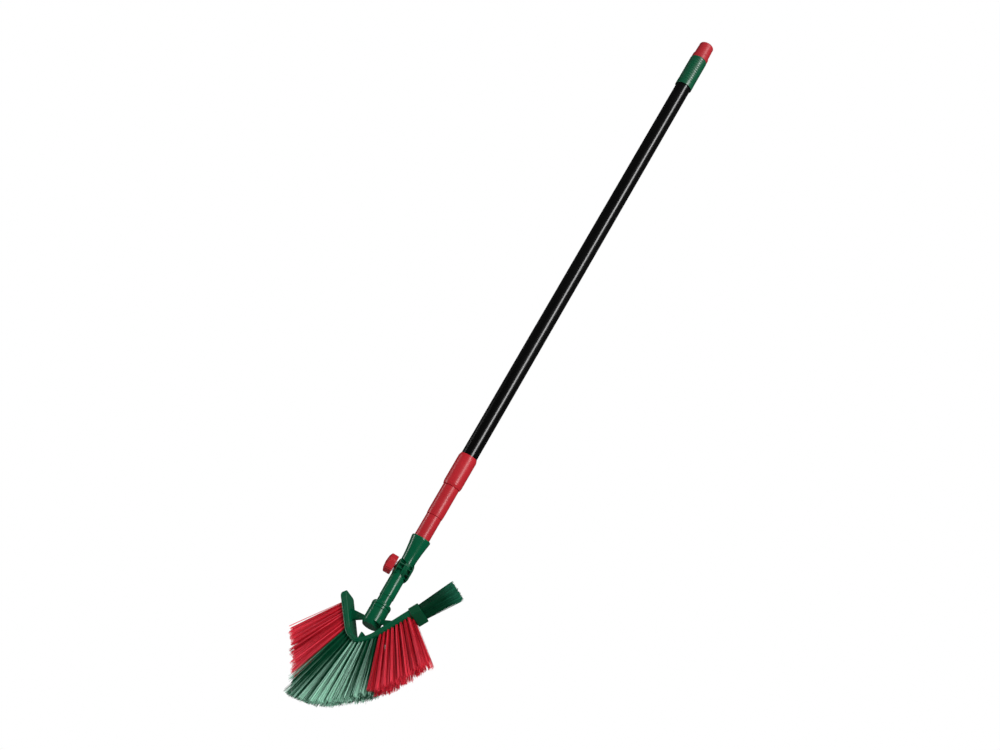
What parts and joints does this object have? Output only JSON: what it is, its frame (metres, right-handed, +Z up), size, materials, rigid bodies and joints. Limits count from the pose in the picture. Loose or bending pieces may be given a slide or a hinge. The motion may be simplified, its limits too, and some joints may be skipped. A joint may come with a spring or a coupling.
{
  "type": "angle broom",
  "caption": "Angle broom with a V-shaped bristle head, an end brush, a tilting clamp joint, a telescopic twist-lock pole, a ribbed grip and an end cap to hang it by.",
  "frame": {"origin": "centre of the hang hole that crosses the end cap", "axes": "+Z up along the pole; X along the tilting joint's bolt, with the knob at -X; +Y away from the picture's camera; the bristles point down"},
  "size_m": [0.2207, 0.1757, 1.3394],
  "materials": {
    "red_plastic": "smooth moulded red",
    "green_plastic": "smooth moulded dark green",
    "black_paint": "gloss black coating",
    "grey_plastic": "moulded grey",
    "zinc_steel": "zinc plated",
    "nut_brass": "plain",
    "red_bristle": "red bristle",
    "pale_green_bristle": "pale green bristle",
    "dark_green_bristle": "dark green bristle"
  },
  "bodies": {
    "outer_section": {"end_cap": "red_plastic", "grip": "green_plastic", "outer_tube": "black_paint", "upper_collar": "red_plastic"},
    "upper_sleeve": {"upper_lock_sleeve": "grey_plastic"},
    "middle_section": {"upper_lock_cone": "grey_plastic", "middle_tube": "black_paint", "lower_collar": "red_plastic"},
    "lower_sleeve": {"lower_lock_sleeve": "grey_plastic"},
    "inner_section": {"lower_lock_cone": "grey_plastic", "inner_tube": "black_paint", "pole_tip": "red_plastic", "joint_fork": "green_plastic", "clamp_bolt": "zinc_steel"},
    "arm": {"joint_arm": "green_plastic"},
    "knob": {"clamp_knob": "red_plastic", "knob_nut": "nut_brass", "clamp_washer": "zinc_steel"},
    "head": {"head_frame": "green_plastic", "left_bristles": "red_bristle", "middle_bristles": "pale_green_bristle", "right_bristles": "red_bristle", "brush_clip": "green_plastic", "end_brush": "dark_green_bristle"}
  },
  "joints": [
    {"name": "middle_slide", "type": "slide", "parent": "outer_section", "child": "upper_sleeve", "axis": [0, 0, -1], "range_m": [0, 0.62]},
    {"name": "middle_twist", "type": "hinge", "parent": "upper_sleeve", "child": "middle_section", "pos_m": [0, 0, -0.1], "axis": [0, 0, 1], "range_deg": [0, 180]},
    {"name": "inner_slide", "type": "slide", "parent": "middle_section", "child": "lower_sleeve", "axis": [0, 0, -1], "range_m": [0, 0.62]},
    {"name": "inner_twist", "type": "hinge", "parent": "lower_sleeve", "child": "inner_section", "pos_m": [0, 0, -0.2], "axis": [0, 0, 1], "range_deg": [0, 180]},
    {"name": "tilt", "type": "hinge", "parent": "inner_section", "child": "arm", "pos_m": [0, 0, -1.0836], "axis": [1, 0, 0], "range_deg": [-65, 95]},
    {"name": "knob_turn", "type": "hinge", "parent": "inner_section", "child": "knob", "pos_m": [0, 0, -1.0836], "axis": [-1, 0, 0], "range_deg": [0, 360]},
    {"name": "head_turn", "type": "hinge", "parent": "arm", "child": "head", "pos_m": [-0.0015, -0.02692, -1.18406], "axis": [0, 0.2588, 0.9659], "range_deg": [-180, 0]}
  ]
}
